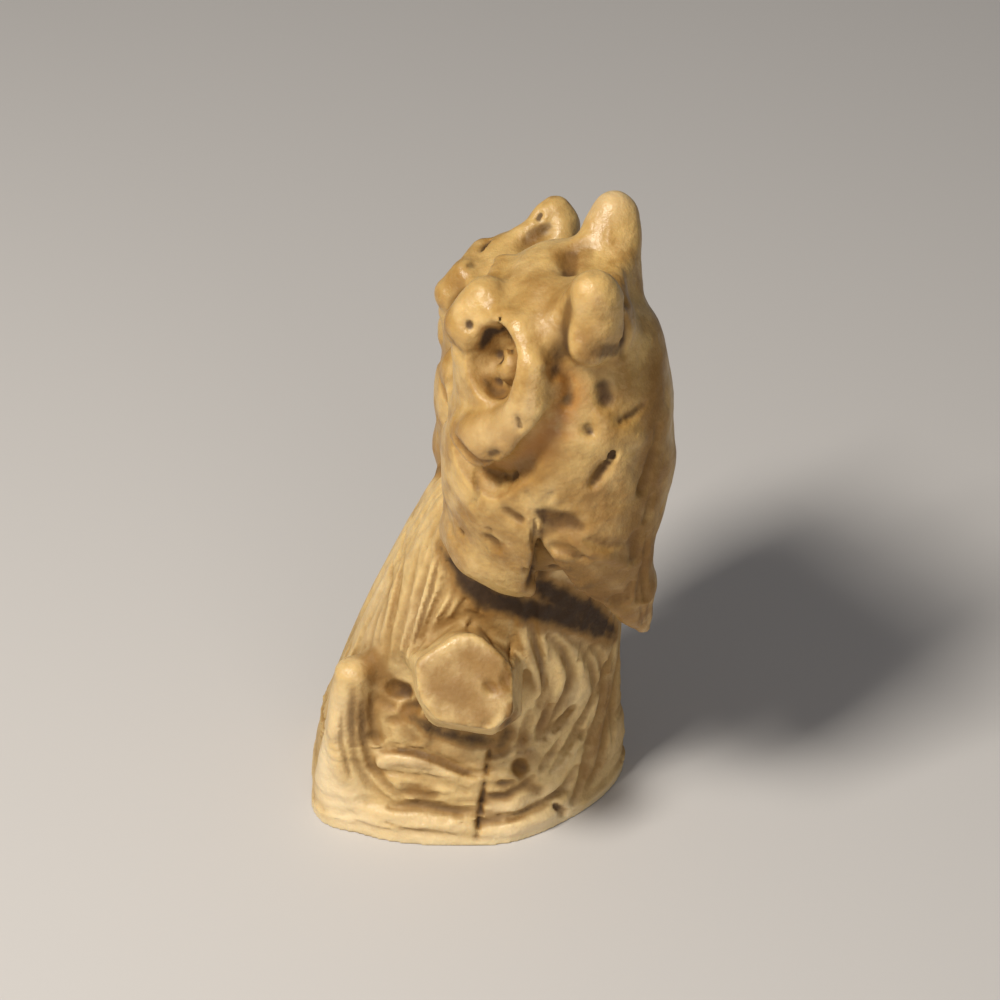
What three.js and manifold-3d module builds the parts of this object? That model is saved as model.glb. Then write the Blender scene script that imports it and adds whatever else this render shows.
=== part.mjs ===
import * as THREE from "three";
import Module from "manifold-3d";

// Axes
// Millimetres. +X is the side with the sawn branch, -Y is where the owls look, +Z is up.
// The middle of the stump's foot is the origin, on the ground.

// Driving sizes of the stump
const BASE_LENGTH = 31.4;
const BASE_WIDTH = 24.4;
const STUMP_HEIGHT = 37.0;
const STUMP_WIDTH = 18.4;
const STUMP_LEAN = 14.4;
const BRANCH_DIAMETER = 9.0;
const BRANCH_REACH = 5.6;
const BRANCH_LEVEL = 23.8;
const ROOT_HEIGHT = 18.4;
const ROOT_DIAMETER = 7.6;

// Driving sizes of the owls, each from the tip of its tail to the tip of its horn
const NEAR_OWL_HEIGHT = 44.0;
const FAR_OWL_HEIGHT = 34.4;
const NEAR_TAIL_LEVEL = 22.7;
const FAR_TAIL_LEVEL = 23.6;
const OWL_SPACING = 15.5;
const NEAR_OWL_SETBACK = 6.0;
const FAR_OWL_SETBACK = 3.2;

// How far each owl's face and horns are turned towards its mate or away from it, in degrees
const NEAR_TURN = { face: 8, horns: -9 };
const FAR_TURN = { face: 4, horns: -4 };

// Where the pieces of the casting run into each other
const FILLET = 1.0;
const STUMP_TOP_ROUNDING = 4.0;
const ROOT_HOLLOW = [3.4, 2.8, 4.0];
const ROOT_HOLLOW_FILLET = 1.2;
const ROOT_GAP = [1.8, 0.9];
const ROOT_GAP_FILLET = 0.6;

// Facets
const SAMPLE = 0.55;
const MOST_TRIANGLES = 9700;

// Proportions of an owl, as shares of its height from its tail tip, at x 0. A blend is the width
// over which a form runs into the ones before it.
const OWL = {
  body: { at: [0, 0.052, 0.489], radii: [0.209, 0.236, 0.309], nod: -3 },
  belly: { at: [0, -0.011, 0.305], radii: [0.145, 0.175, 0.105], blend: 0.06 },
  rump: { from: [0.077, 0.1, 0.398], by: [0.05, 0.182, 0.205], to: [0.007, 0.225, 0.02] },
  rumpRadii: [0.136, 0.077, 0.03],
  rumpBlend: 0.045,
  wingEdge: { start: 0.009, level: 0.416, slope: 1.62, blend: 0.025 },
  seat: { from: [0, 0.035, 0.345], to: [0.08, 0.035, 0.345], radii: [0.075, 0.075], blend: 0.02 },
  head: { at: [0, 0.073, 0.705], radii: [0.18, 0.191, 0.218], blend: 0.08 },
  face: { at: [0, -0.057, 0.714], radii: [0.142, 0.097, 0.15], blend: 0.014 },
  forehead: { at: [0, 0.018, 0.86], radii: [0.166, 0.175, 0.07], nod: 26, blend: 0.036 },
  horn: { from: [0.086, 0.123, 0.873], to: [0.145, 0.136, 0.977], radii: [0.082, 0.043] },
  hornBlend: 0.034,
  tuft: { from: [0.136, 0.134, 0.94], to: [0.16, 0.126, 0.883], radii: [0.056, 0.051] },
  tuftBlend: 0.023,
  crownDip: { at: [0, 0.114, 0.995], radii: [0.055, 0.136, 0.059], blend: 0.045 },
  cheek: { at: [0.122, 0.002, 0.765], radii: [0.064, 0.056, 0.115], blend: 0.014 },
  rim: [
    [0.035, -0.079, 0.875], [0.109, -0.04, 0.872], [0.16, -0.025, 0.827], [0.178, -0.035, 0.751],
    [0.158, -0.064, 0.676], [0.114, -0.098, 0.632], [0.07, -0.114, 0.613],
  ],
  rimRadii: [0.02, 0.032, 0.036, 0.042, 0.056, 0.068, 0.06],
  rimBlend: 0.014,
  socket: { at: [0.114, -0.102, 0.808], radii: [0.076, 0.07, 0.084], blend: 0.012 },
  eye: { at: [0.098, -0.05, 0.784], radii: [0.034, 0.036, 0.036], blend: 0.016 },
  beak: { from: [0, -0.09, 0.874], by: [0, -0.12, 0.817], to: [0, -0.127, 0.768] },
  beakRadii: [0.046, 0.054, 0.034],
  beakBlend: 0.02,
  throat: [
    [0, -0.2, 0.61], [0.06, -0.172, 0.595], [0.103, -0.15, 0.568], [0.147, -0.109, 0.554],
    [0.19, -0.06, 0.602], [0.215, -0.014, 0.69], [0.213, 0.018, 0.76],
  ],
  throatRadii: [0.02, 0.028, 0.036, 0.04, 0.038, 0.032, 0.016],
  throatBlend: 0.01,
};

// Distance fields
// Each gives how far a point lies outside a form, negative inside it.
function ellipsoid(p, at, radii) {
  const qx = (p[0] - at[0]) / radii[0];
  const qy = (p[1] - at[1]) / radii[1];
  const qz = (p[2] - at[2]) / radii[2];
  const near = Math.hypot(qx, qy, qz) + 1e-9;
  const slope = Math.hypot(qx / radii[0], qy / radii[1], qz / radii[2]) + 1e-9;
  return (near * (near - 1)) / slope;
}

function taper(p, from, to, startRadius, endRadius) {
  const along = [to[0] - from[0], to[1] - from[1], to[2] - from[2]];
  const away = [p[0] - from[0], p[1] - from[1], p[2] - from[2]];
  const length2 = along[0] ** 2 + along[1] ** 2 + along[2] ** 2;
  const dot = away[0] * along[0] + away[1] * along[1] + away[2] * along[2];
  const t = Math.min(1, Math.max(0, dot / length2));
  const gap = Math.hypot(away[0] - t * along[0], away[1] - t * along[1], away[2] - t * along[2]);
  return gap - (startRadius + (endRadius - startRadius) * t);
}

function strand(p, points, radii) {
  let nearest = Infinity;
  for (let i = 0; i + 1 < points.length; i++)
    nearest = Math.min(nearest, taper(p, points[i], points[i + 1], radii[i], radii[i + 1]));
  return nearest;
}

function join(a, b, blend) {
  const h = Math.min(1, Math.max(0, 0.5 + (0.5 * (b - a)) / blend));
  return b + (a - b) * h - blend * h * (1 - h);
}

function cut(a, b, blend) {
  return -join(-a, b, blend);
}

function ease(from, to, x) {
  const t = Math.min(1, Math.max(0, (x - from) / (to - from)));
  return t * t * (3 - 2 * t);
}

// Turns about an upright axis through x 0 and about a line across the owl
function swing(p, pivotY, degrees) {
  const a = THREE.MathUtils.degToRad(degrees);
  const x = p[0];
  const y = p[1] - pivotY;
  return [x * Math.cos(a) + y * Math.sin(a), pivotY - x * Math.sin(a) + y * Math.cos(a), p[2]];
}

function nod(p, at, degrees) {
  const a = THREE.MathUtils.degToRad(degrees);
  const y = p[1] - at[1];
  const z = p[2] - at[2];
  return [
    p[0] - at[0],
    y * Math.cos(a) + z * Math.sin(a),
    -y * Math.sin(a) + z * Math.cos(a),
  ];
}

const mirrored = (p) => [Math.abs(p[0]), p[1], p[2]];
const CENTRE = [0, 0, 0];

// One owl, in shares of its height. The face turns and the horns turn apart from each other. The
// wings end in a fold over the seat on which the owl perches. The thick rim of a facial disc runs
// from the brow round the outside of the eye and under the beak, and a groove parts it from the
// throat.
const TURN_PIVOT = 0.045;
function owl(p, turn) {
  const o = OWL;
  const sides = mirrored(p);
  const face = swing(p, TURN_PIVOT, turn.face);
  const faceSides = mirrored(face);
  const hornSides = mirrored(swing(p, TURN_PIVOT, turn.horns));
  const { wingEdge, seat, forehead, horn, tuft } = o;
  const add = (form, blend) => (d = join(d, form, blend));
  const take = (form, blend) => (d = cut(d, form, blend));
  let d = ellipsoid(nod(p, o.body.at, o.body.nod), CENTRE, o.body.radii);
  add(ellipsoid(p, o.belly.at, o.belly.radii), o.belly.blend);
  add(strand(sides, [o.rump.from, o.rump.by, o.rump.to], o.rumpRadii), o.rumpBlend);
  const below = p[2] - (wingEdge.level - wingEdge.slope * (p[1] - wingEdge.start));
  const steep = Math.hypot(1, wingEdge.slope);
  take(Math.max(below / steep, wingEdge.start - p[1]), wingEdge.blend);
  add(taper(sides, seat.from, seat.to, ...seat.radii), seat.blend);
  add(ellipsoid(face, o.head.at, o.head.radii), o.head.blend);
  add(ellipsoid(nod(face, forehead.at, forehead.nod), CENTRE, forehead.radii), forehead.blend);
  add(taper(hornSides, horn.from, horn.to, ...horn.radii), o.hornBlend);
  add(taper(hornSides, tuft.from, tuft.to, ...tuft.radii), o.tuftBlend);
  take(ellipsoid(face, o.crownDip.at, o.crownDip.radii), o.crownDip.blend);
  add(ellipsoid(face, o.face.at, o.face.radii), o.face.blend);
  add(ellipsoid(faceSides, o.cheek.at, o.cheek.radii), o.cheek.blend);
  add(strand(faceSides, o.rim, o.rimRadii), o.rimBlend);
  take(ellipsoid(faceSides, o.socket.at, o.socket.radii), o.socket.blend);
  add(ellipsoid(faceSides, o.eye.at, o.eye.radii), o.eye.blend);
  add(strand(face, [o.beak.from, o.beak.by, o.beak.to], o.beakRadii), o.beakBlend);
  take(strand(faceSides, o.throat, o.throatRadii), o.throatBlend);
  return d;
}

// The leaning stump. Its foot is squarer in front than behind and spreads over the ground.
function stump(p) {
  const [x, y, z] = p;
  const rise = Math.min(1.3, Math.max(0, z / STUMP_HEIGHT));
  const front = -BASE_LENGTH / 2 + STUMP_LEAN * rise ** 1.4;
  const back = BASE_LENGTH / 2 - 0.02 * BASE_LENGTH * ease(0, 0.35, z / STUMP_HEIGHT);
  const middle = (front + back) / 2;
  const half = (back - front) / 2;
  const spread = 0.47 * ease(0, 0.12, rise) + 0.53 * ease(0.09, 0.32, rise);
  const side = BASE_WIDTH / 2 - ((BASE_WIDTH - STUMP_WIDTH) / 2) * spread;
  const square = 2.7 - 1.0 * ease(-0.2 * BASE_LENGTH, 0.32 * BASE_LENGTH, y);
  const around = Math.abs(x / side) ** square + Math.abs((y - middle) / half) ** square;
  const wall = (around ** (1 / square) - 1) * Math.min(side, half) * 0.85;
  return cut(wall, STUMP_HEIGHT - z, STUMP_TOP_ROUNDING);
}

// The sawn branch leaves the stump sideways and a little upwards and ends in a flat face.
const BRANCH_AXIS = new THREE.Vector3(0.79, -0.05, 0.6).normalize().toArray();
const BRANCH_UP = [-0.604, 0, 0.797];
const BRANCH_FLARE = 0.2;
const BRANCH_CORNER = 0.5;

// Its outline has eight uneven sides: the way each faces, in degrees from +Y towards the top, and
// its distance from the middle in radii.
const BRANCH_SIDES = [
  [0, 1.0], [48, 0.86], [92, 0.9], [124, 0.84], [184, 0.98], [218, 1.0], [261, 0.97], [306, 1.2],
];

function branch(p) {
  const end = [STUMP_WIDTH / 2 + BRANCH_REACH, 0, BRANCH_LEVEL];
  const q = [p[0] - end[0], p[1] - end[1], p[2] - end[2]];
  const along = q[0] * BRANCH_AXIS[0] + q[1] * BRANCH_AXIS[1] + q[2] * BRANCH_AXIS[2];
  const up = q[0] * BRANCH_UP[0] + q[2] * BRANCH_UP[2];
  const flare = BRANCH_FLARE * Math.max(0, -along - 0.4 * BRANCH_REACH);
  let out = -Infinity;
  for (const [degrees, share] of BRANCH_SIDES) {
    const a = THREE.MathUtils.degToRad(degrees);
    const beyond = q[1] * Math.cos(a) + up * Math.sin(a) - (share * BRANCH_DIAMETER) / 2;
    out = cut(Math.max(out, -BRANCH_DIAMETER), -beyond, BRANCH_CORNER);
  }
  const sawn = cut(out - flare, -along, BRANCH_CORNER);
  return Math.max(sawn, -along - 1.2 * BRANCH_REACH);
}

// The broken root stands at the front corner, with a hollow and a gap between it and the branch.
function root(p) {
  const side = BASE_WIDTH * 0.25;
  const low = [side, 0.75 * ROOT_DIAMETER / 2 - 0.46 * BASE_LENGTH, 0];
  const high = [side, low[1] + 1.0, ROOT_HEIGHT - 1.4];
  const post = taper(p, low, high, ROOT_DIAMETER / 2, ROOT_DIAMETER / 4);
  return cut(post, ROOT_HEIGHT - p[2], FILLET);
}

function rootHollow(p) {
  const at = [STUMP_WIDTH / 2 + 0.8, -0.22 * BASE_LENGTH, 0.92 * ROOT_HEIGHT];
  return ellipsoid(p, at, ROOT_HOLLOW);
}

function rootGap(p) {
  const y = -0.26 * BASE_LENGTH;
  const upper = [STUMP_WIDTH / 2 + 0.4, y, ROOT_HEIGHT + 1.5];
  const lower = [STUMP_WIDTH / 2 - 0.4, y + 0.8, 0.72 * ROOT_HEIGHT];
  return taper(p, upper, lower, ...ROOT_GAP);
}

function placedOwl(p, height, at, turn) {
  const q = [(p[0] - at[0]) / height, (p[1] - at[1]) / height, (p[2] - at[2]) / height];
  return owl(q, turn) * height;
}

const MIDLINE = 0.05 * OWL_SPACING;
const NEAR_AT = [MIDLINE + OWL_SPACING / 2, NEAR_OWL_SETBACK, NEAR_TAIL_LEVEL];
const FAR_AT = [MIDLINE - OWL_SPACING / 2, FAR_OWL_SETBACK, FAR_TAIL_LEVEL];

// What fills the valley between the two owls, well below their backs and chests, and nearer the
// smaller one, and the web where their heads touch
function valleyFloor(p) {
  const y = (NEAR_OWL_SETBACK + FAR_OWL_SETBACK) / 2 + 2;
  const at = [MIDLINE - 0.09 * OWL_SPACING, y, NEAR_TAIL_LEVEL + 0.43 * NEAR_OWL_HEIGHT];
  const radii = [0.23 * OWL_SPACING, 0.14 * NEAR_OWL_HEIGHT, 0.37 * NEAR_OWL_HEIGHT];
  return join(ellipsoid(p, at, radii), headWeb(p), FILLET);
}

function headWeb(p) {
  const y = NEAR_OWL_SETBACK - 0.075 * NEAR_OWL_HEIGHT;
  const at = [MIDLINE - 0.09 * OWL_SPACING, y, NEAR_TAIL_LEVEL + 0.67 * NEAR_OWL_HEIGHT];
  const radii = [0.21 * OWL_SPACING, 0.07 * NEAR_OWL_HEIGHT, 0.1 * NEAR_OWL_HEIGHT];
  return ellipsoid(p, at, radii);
}

function figurine(p) {
  const near = placedOwl(p, NEAR_OWL_HEIGHT, NEAR_AT, NEAR_TURN);
  const far = placedOwl(p, FAR_OWL_HEIGHT, FAR_AT, FAR_TURN);
  const owls = join(join(near, far, FILLET), valleyFloor(p), FILLET);
  const wood = join(join(stump(p), branch(p), FILLET), root(p), FILLET);
  const hollowed = cut(wood, rootHollow(p), ROOT_HOLLOW_FILLET);
  return join(owls, cut(hollowed, rootGap(p), ROOT_GAP_FILLET), FILLET);
}

// The box of samples reaches a little past the figurine on every side and under the ground.
const SINK = 1.5;
const low = [
  Math.min(-BASE_WIDTH / 2, FAR_AT[0] - 0.3 * FAR_OWL_HEIGHT) - 2,
  Math.min(-BASE_LENGTH / 2, NEAR_OWL_SETBACK - 0.3 * NEAR_OWL_HEIGHT) - 2,
  -SINK,
];
const high = [
  Math.max(STUMP_WIDTH / 2 + BRANCH_REACH + BRANCH_DIAMETER / 2, NEAR_AT[0] + 0.3 * NEAR_OWL_HEIGHT) + 1,
  Math.max(BASE_LENGTH / 2, NEAR_OWL_SETBACK + 0.32 * NEAR_OWL_HEIGHT) + 2,
  Math.max(NEAR_TAIL_LEVEL + NEAR_OWL_HEIGHT, FAR_TAIL_LEVEL + FAR_OWL_HEIGHT) + 2,
];
const count = low.map((v, i) => Math.ceil((high[i] - v) / SAMPLE) + 1);

// Surface of a field, as triangles through the six tetrahedra of every cell
function surfaceOf(field) {
  const [nx, ny, nz] = count;
  const values = new Float64Array(nx * ny * nz);
  const indexOf = (i, j, k) => (i * ny + j) * nz + k;
  for (let i = 0; i < nx; i++)
    for (let j = 0; j < ny; j++)
      for (let k = 0; k < nz; k++) {
        const p = [low[0] + i * SAMPLE, low[1] + j * SAMPLE, low[2] + k * SAMPLE];
        const v = k === 0 ? 1 : field(p);
        values[indexOf(i, j, k)] = Math.abs(v) < 1e-6 ? 1e-6 : v;
      }
  const place = (n) => {
    const k = n % nz;
    const j = Math.floor(n / nz) % ny;
    const i = Math.floor(n / (nz * ny));
    return [low[0] + i * SAMPLE, low[1] + j * SAMPLE, low[2] + k * SAMPLE];
  };
  const points = [];
  const known = new Map();
  const crossing = (a, b) => {
    const key = a < b ? a * values.length + b : b * values.length + a;
    if (!known.has(key)) {
      const t = Math.min(0.92, Math.max(0.08, values[a] / (values[a] - values[b])));
      const pa = place(a);
      const pb = place(b);
      known.set(key, points.length);
      points.push(pa.map((v, i) => v + (pb[i] - v) * t));
    }
    return known.get(key);
  };
  const faces = [];
  const routes = [[1, 2, 4], [2, 4, 1], [4, 1, 2], [2, 1, 4], [4, 2, 1], [1, 4, 2]];
  for (let i = 0; i + 1 < nx; i++)
    for (let j = 0; j + 1 < ny; j++)
      for (let k = 0; k + 1 < nz; k++) {
        const corners = [];
        for (let c = 0; c < 8; c++) corners.push(indexOf(i + (c & 1), j + ((c >> 1) & 1), k + (c >> 2)));
        const inside = corners.filter((c) => values[c] < 0).length;
        if (inside === 0 || inside === 8) continue;
        routes.forEach(([a, b], r) => {
          const tetra = [corners[0], corners[a], corners[a + b], corners[7]];
          if (r > 2) [tetra[1], tetra[2]] = [tetra[2], tetra[1]];
          cutTetra(tetra, values, crossing, faces);
        });
      }
  return { points, faces };
}

// Adds the one or two triangles where the surface crosses a right-handed tetrahedron
function cutTetra(tetra, values, crossing, faces) {
  const order = [0, 1, 2, 3].sort((a, b) => (values[tetra[b]] < 0) - (values[tetra[a]] < 0) || a - b);
  const swaps = order.reduce((n, a, i) => n + order.slice(i + 1).filter((b) => b < a).length, 0);
  const [a, b, c, d] = order.map((n) => tetra[n]);
  const inside = order.filter((n) => values[tetra[n]] < 0).length;
  const add = (u, v, w) => faces.push(swaps % 2 ? [u, w, v] : [u, v, w]);
  if (inside === 1) add(crossing(a, b), crossing(a, c), crossing(a, d));
  if (inside === 3) add(crossing(a, d), crossing(b, d), crossing(c, d));
  if (inside === 2) {
    add(crossing(a, c), crossing(b, d), crossing(b, c));
    add(crossing(a, c), crossing(a, d), crossing(b, d));
  }
}

// A vector square to a facet, twice as long as the facet's area
function facing(a, b, c) {
  const u = [b[0] - a[0], b[1] - a[1], b[2] - a[2]];
  const v = [c[0] - a[0], c[1] - a[1], c[2] - a[2]];
  return [u[1] * v[2] - u[2] * v[1], u[2] * v[0] - u[0] * v[2], u[0] * v[1] - u[1] * v[0]];
}

// Ten sums per point: the squared distance from the planes of the facets that met in it
function planeSums(points, faces) {
  const sums = points.map(() => new Float64Array(10));
  for (const face of faces) {
    const n = facing(...face.map((v) => points[v]));
    const size = Math.hypot(...n);
    if (size < 1e-12) continue;
    const [a, b, c] = n.map((v) => v / size);
    const [px, py, pz] = points[face[0]];
    const d = -(a * px + b * py + c * pz);
    const terms = [a * a, a * b, a * c, a * d, b * b, b * c, b * d, c * c, c * d, d * d];
    for (const v of face) terms.forEach((t, i) => (sums[v][i] += t * size));
  }
  return sums;
}

// The point with the least sum, kept near the middle of the edge where the surface is flat
function bestPoint(q, middle) {
  const keep = 1e-3 * (q[0] + q[4] + q[7]) + 1e-9;
  const [xx, xy, xz, yy, yz, zz] = [q[0] + keep, q[1], q[2], q[4] + keep, q[5], q[7] + keep];
  const r = [keep * middle[0] - q[3], keep * middle[1] - q[6], keep * middle[2] - q[8]];
  const ax = yy * zz - yz * yz;
  const ay = xz * yz - xy * zz;
  const az = xy * yz - xz * yy;
  const whole = xx * ax + xy * ay + xz * az;
  return [
    (ax * r[0] + ay * r[1] + az * r[2]) / whole,
    (ay * r[0] + (xx * zz - xz * xz) * r[1] + (xy * xz - xx * yz) * r[2]) / whole,
    (az * r[0] + (xy * xz - xx * yz) * r[1] + (xx * yy - xy * xy) * r[2]) / whole,
  ];
}

function sumAt(q, [x, y, z]) {
  const across = q[0] * x * x + 2 * q[1] * x * y + 2 * q[2] * x * z + 2 * q[3] * x + q[4] * y * y;
  return across + 2 * q[5] * y * z + 2 * q[6] * y + q[7] * z * z + 2 * q[8] * z + q[9];
}

// A queue that gives its cheapest entry first
class Queue {
  entries = [];

  push(entry) {
    const all = this.entries;
    let at = all.push(entry) - 1;
    while (at > 0) {
      const up = (at - 1) >> 1;
      if (all[up].cost <= entry.cost) break;
      all[at] = all[up];
      at = up;
    }
    all[at] = entry;
  }

  pop() {
    const all = this.entries;
    const first = all[0];
    const last = all.pop();
    if (all.length === 0) return first;
    let at = 0;
    for (;;) {
      let down = 2 * at + 1;
      if (down >= all.length) break;
      if (down + 1 < all.length && all[down + 1].cost < all[down].cost) down++;
      if (all[down].cost >= last.cost) break;
      all[at] = all[down];
      at = down;
    }
    all[at] = last;
    return first;
  }
}

// Merges facets where the surface is flattest until few enough are left. An edge closes only
// where the surface stays one closed skin and no facet turns over.
function simplified({ points, faces }, most) {
  const around = points.map(() => new Set());
  faces.forEach((face, i) => face.forEach((v) => around[v].add(i)));
  const sums = planeSums(points, faces);
  const version = points.map(() => 0);
  const queue = new Queue();
  const neighbours = (v) => {
    const found = new Set();
    for (const i of around[v]) faces[i].forEach((w) => found.add(w));
    found.delete(v);
    return found;
  };
  const consider = (a, b) => {
    const q = sums[a].map((t, i) => t + sums[b][i]);
    const middle = points[a].map((t, i) => (t + points[b][i]) / 2);
    const to = bestPoint(q, middle);
    const cost = sumAt(q, to) + 1e-5 * Math.hypot(...points[a].map((t, i) => t - points[b][i])) ** 2;
    queue.push({ a, b, to, cost, stamp: version[a] + version[b] });
  };
  const turnsOver = (v, other, to) => {
    for (const i of around[v]) {
      const face = faces[i];
      if (face.includes(other)) continue;
      const before = facing(...face.map((w) => points[w]));
      const after = facing(...face.map((w) => (w === v ? to : points[w])));
      const size = Math.hypot(...before) * Math.hypot(...after);
      const dot = before[0] * after[0] + before[1] * after[1] + before[2] * after[2];
      if (dot < 0.2 * size || Math.hypot(...after) < 1e-3) return true;
    }
    return false;
  };
  points.forEach((_, v) => neighbours(v).forEach((w) => v < w && consider(v, w)));
  let left = faces.length;
  while (left > most && queue.entries.length) {
    const { a, b, to, stamp } = queue.pop();
    if (!around[a] || !around[b] || stamp !== version[a] + version[b]) continue;
    const nearB = neighbours(b);
    if (!nearB.has(a)) continue;
    const shared = [...neighbours(a)].filter((w) => nearB.has(w));
    if (shared.length !== 2 || turnsOver(a, b, to) || turnsOver(b, a, to)) continue;
    points[a] = to;
    sums[a] = sums[a].map((t, i) => t + sums[b][i]);
    for (const i of around[b]) {
      if (faces[i].includes(a)) {
        faces[i].forEach((w) => w !== b && around[w].delete(i));
        faces[i] = null;
        left--;
      } else {
        faces[i] = faces[i].map((w) => (w === b ? a : w));
        around[a].add(i);
      }
    }
    around[b] = null;
    version[a] += version[b] + 1;
    neighbours(a).forEach((w) => consider(a, w));
  }
  return { points, faces: faces.filter((face) => face) };
}

const wasm = await Module();
wasm.setup();

function solidOf(points, faces) {
  const used = new Map();
  const triVerts = new Uint32Array(faces.length * 3);
  faces.flat().forEach((v, i) => {
    if (!used.has(v)) used.set(v, used.size);
    triVerts[i] = used.get(v);
  });
  const vertProperties = new Float32Array([...used.keys()].flatMap((v) => points[v]));
  return new wasm.Manifold(new wasm.Mesh({ numProp: 3, vertProperties, triVerts }));
}

// The ground under the figurine, as a box that takes off all that reaches below it
function ground() {
  const reach = 2 * (BASE_LENGTH + BASE_WIDTH);
  const corners = [0, 1, 2, 3, 4, 5, 6, 7].map((c) => [
    reach * ((c & 1) - 0.5),
    reach * (((c >> 1) & 1) - 0.5),
    (c >> 2) * 4 * SINK - 4 * SINK,
  ]);
  const sides = [
    [0, 2, 3, 1], [4, 5, 7, 6], [0, 1, 5, 4], [2, 6, 7, 3], [0, 4, 6, 2], [1, 3, 7, 5],
  ];
  return solidOf(corners, sides.flatMap(([a, b, c, d]) => [[a, b, c], [a, c, d]]));
}

const skin = simplified(surfaceOf(figurine), MOST_TRIANGLES);
const cast = solidOf(skin.points, skin.faces).subtract(ground()).getMesh();
const positions = new Float32Array(cast.numVert * 3);
for (let i = 0; i < cast.numVert; i++)
  positions.set(cast.vertProperties.subarray(i * cast.numProp, i * cast.numProp + 3), 3 * i);

const geometry = new THREE.BufferGeometry();
geometry.setAttribute("position", new THREE.BufferAttribute(positions, 3));
geometry.setIndex(new THREE.BufferAttribute(cast.triVerts, 1));
geometry.computeVertexNormals();

const resin = new THREE.MeshStandardMaterial({ color: 0xc29a5c, roughness: 0.42, metalness: 0 });
const owlPair = new THREE.Mesh(geometry, resin);
owlPair.name = "owl_pair_figurine";

const group = new THREE.Group();
group.name = "resin_owl_pair";
group.add(owlPair);

export default group;
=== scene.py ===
import itertools
import math

import bpy
import numpy as np
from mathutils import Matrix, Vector


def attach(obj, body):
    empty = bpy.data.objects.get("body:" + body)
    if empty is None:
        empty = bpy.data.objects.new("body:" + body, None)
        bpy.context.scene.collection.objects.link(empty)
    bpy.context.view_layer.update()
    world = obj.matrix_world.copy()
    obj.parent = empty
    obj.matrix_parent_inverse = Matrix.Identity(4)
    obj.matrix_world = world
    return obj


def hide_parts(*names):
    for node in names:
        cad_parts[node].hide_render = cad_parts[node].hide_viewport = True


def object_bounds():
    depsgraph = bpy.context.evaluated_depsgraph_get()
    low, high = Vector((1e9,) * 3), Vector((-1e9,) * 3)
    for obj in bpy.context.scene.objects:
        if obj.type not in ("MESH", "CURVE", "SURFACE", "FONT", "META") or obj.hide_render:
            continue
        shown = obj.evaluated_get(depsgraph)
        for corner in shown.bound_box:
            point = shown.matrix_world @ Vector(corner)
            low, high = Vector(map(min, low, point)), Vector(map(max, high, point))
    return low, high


# Millimetres in the form, metres in the scene. +X is the side with the sawn branch, -Y is where
# the owls look, +Z is up, and the middle of the stump's foot is the origin.

MILLIMETRE = 0.001
STEP = 0.27
MOST_TRIANGLES = 196000

# Sizes of the stump
BASE_LENGTH = 31.4
BASE_WIDTH = 24.4
STUMP_HEIGHT = 37.0
STUMP_WIDTH = 18.4
STUMP_LEAN = 14.4
BRANCH_DIAMETER = 9.0
BRANCH_REACH = 5.6
BRANCH_LEVEL = 23.8
ROOT_HEIGHT = 18.4
ROOT_DIAMETER = 7.6

# Sizes of the owls
NEAR_OWL_HEIGHT = 44.0
FAR_OWL_HEIGHT = 34.4
NEAR_TAIL_LEVEL = 22.7
FAR_TAIL_LEVEL = 23.6
OWL_SPACING = 15.5
NEAR_OWL_SETBACK = 6.0
FAR_OWL_SETBACK = 3.2
NEAR_TURN = {"face": 8, "horns": -9}
FAR_TURN = {"face": 4, "horns": -4}
MIDLINE = 0.05 * OWL_SPACING
NEAR_AT = (MIDLINE + OWL_SPACING / 2, NEAR_OWL_SETBACK, NEAR_TAIL_LEVEL)
FAR_AT = (MIDLINE - OWL_SPACING / 2, FAR_OWL_SETBACK, FAR_TAIL_LEVEL)

FILLET = 1.0
STUMP_TOP_ROUNDING = 4.0
ROOT_HOLLOW = (3.4, 2.8, 4.0)
ROOT_HOLLOW_FILLET = 1.2
ROOT_GAP = (1.8, 0.9)
ROOT_GAP_FILLET = 0.6

# Proportions of an owl, as shares of its height from its tail tip
BODY = {"at": (0, 0.052, 0.489), "radii": (0.209, 0.236, 0.309)}
BODY_NOD = -3
BELLY = {"at": (0, -0.011, 0.305), "radii": (0.145, 0.175, 0.105)}
RUMP = {
    "points": [(0.077, 0.1, 0.398), (0.05, 0.182, 0.205), (0.007, 0.225, 0.02)],
    "radii": [0.136, 0.077, 0.03],
}
WING_EDGE = {"start": 0.009, "level": 0.416, "slope": 1.62}
SEAT = {"points": [(0, 0.035, 0.345), (0.08, 0.035, 0.345)], "radii": [0.075, 0.075]}
HEAD = {"at": (0, 0.073, 0.705), "radii": (0.18, 0.191, 0.218)}
FACE = {"at": (0, -0.057, 0.714), "radii": (0.142, 0.097, 0.15)}
FOREHEAD = {"at": (0, 0.018, 0.86), "radii": (0.166, 0.175, 0.07)}
FOREHEAD_NOD = 26
HORN = {"points": [(0.086, 0.123, 0.873), (0.145, 0.136, 0.977)], "radii": [0.082, 0.043]}
TUFT = {"points": [(0.136, 0.134, 0.94), (0.16, 0.126, 0.883)], "radii": [0.056, 0.051]}
CROWN_DIP = {"at": (0, 0.114, 0.995), "radii": (0.055, 0.136, 0.059)}
CHEEK = {"at": (0.122, 0.002, 0.765), "radii": (0.064, 0.056, 0.115)}
RIM = {
    "points": [(0.035, -0.079, 0.875), (0.109, -0.04, 0.872), (0.16, -0.025, 0.827), (0.178, -0.035, 0.751),
               (0.158, -0.064, 0.676), (0.114, -0.098, 0.632), (0.07, -0.114, 0.613)],
    "radii": [0.02, 0.032, 0.036, 0.042, 0.056, 0.068, 0.06],
}
SOCKET = {"at": (0.114, -0.102, 0.808), "radii": (0.076, 0.07, 0.084)}
EYE = {"at": (0.098, -0.05, 0.784), "radii": (0.034, 0.036, 0.036)}
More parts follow.
